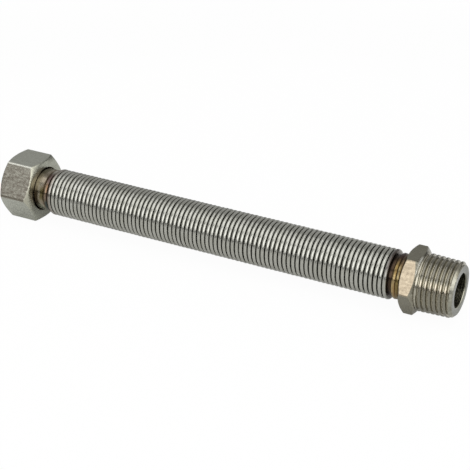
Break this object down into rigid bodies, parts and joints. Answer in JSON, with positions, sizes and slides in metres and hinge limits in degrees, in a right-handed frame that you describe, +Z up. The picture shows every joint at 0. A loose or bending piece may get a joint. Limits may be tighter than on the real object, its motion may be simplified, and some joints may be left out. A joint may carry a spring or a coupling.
{
  "type": "corrugated stainless steel hose",
  "caption": "Extensible corrugated stainless steel hose with a loose hexagonal union nut on one end and a taper-threaded hexagonal nipple on the other",
  "frame": {"origin": "on the floor under the middle of the hose, with the lowest flat of the nut on the floor", "axes": "+X along the hose from the union nut to the threaded nipple, +Z up"},
  "size_m": [0.1884, 0.0278, 0.024],
  "materials": {
    "hose_steel": "bright rolled strip, pressed into bellows",
    "nut_steel": "machined, satin, finely mottled flats",
    "collar_steel": "turned, satin, warm from the weld's heat",
    "nipple_steel": "machined, satin, with a cut taper thread",
    "weld_steel": "weld bead with straw and brown heat tint",
    "seal_rubber": "matt moulded flat seal"
  },
  "bodies": {
    "hose": {"corrugated_tube": "hose_steel", "nut_collar": "collar_steel", "sealing_gasket": "seal_rubber", "weld_bead_nut_end": "weld_steel", "weld_bead_nipple_end": "weld_steel", "male_nipple": "nipple_steel"},
    "nut": {"union_nut": "nut_steel"}
  },
  "joints": [
    {"name": "nut_swivel", "type": "hinge", "parent": "hose", "child": "nut", "pos_m": [-0.08724, 0, 0.012], "axis": [1, 0, 0], "continuous": true}
  ]
}
